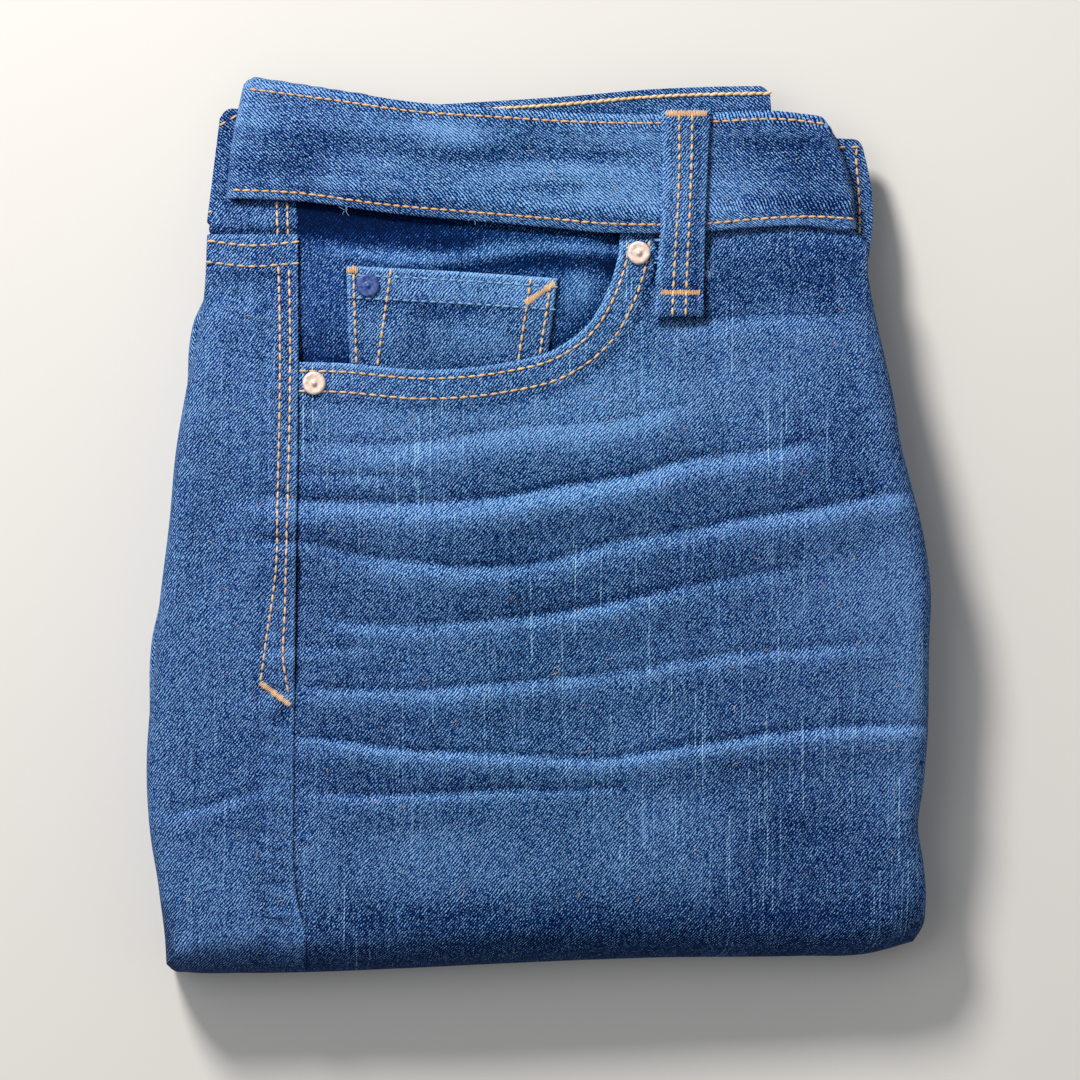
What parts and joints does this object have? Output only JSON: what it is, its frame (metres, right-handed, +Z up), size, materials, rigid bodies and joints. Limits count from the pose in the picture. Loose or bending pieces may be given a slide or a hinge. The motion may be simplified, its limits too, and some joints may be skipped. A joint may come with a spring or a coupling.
{
  "type": "folded pair of jeans",
  "caption": "Pair of slim denim jeans folded flat, front side up, with its pocket, coin pocket, belt loop and creases showing.",
  "frame": {"origin": "middle of the folded pair's outline as seen from above, on the surface that it lies on", "axes": "+X to the right as it lies with the waistband away from the viewer, +Y towards the waistband, +Z up"},
  "size_m": [0.2616, 0.2997, 0.0409],
  "materials": {
    "denim": "washed twill, faded on the creases",
    "denim_dark": "washed twill, less faded",
    "copper": "pressed cap, copper plated",
    "painted": "pressed cap, painted blue"
  },
  "bodies": {
    "root": {"front_panel": "denim", "back_panel": "denim", "back_yoke": "denim", "waistband": "denim", "waistband_inner": "denim", "waistband_left": "denim_dark", "pocket_facing": "denim", "coin_pocket": "denim", "belt_loop": "denim", "folded_legs": "denim_dark", "rivet_side": "copper", "rivet_waist": "copper", "rivet_coin": "painted"}
  },
  "joints": []
}
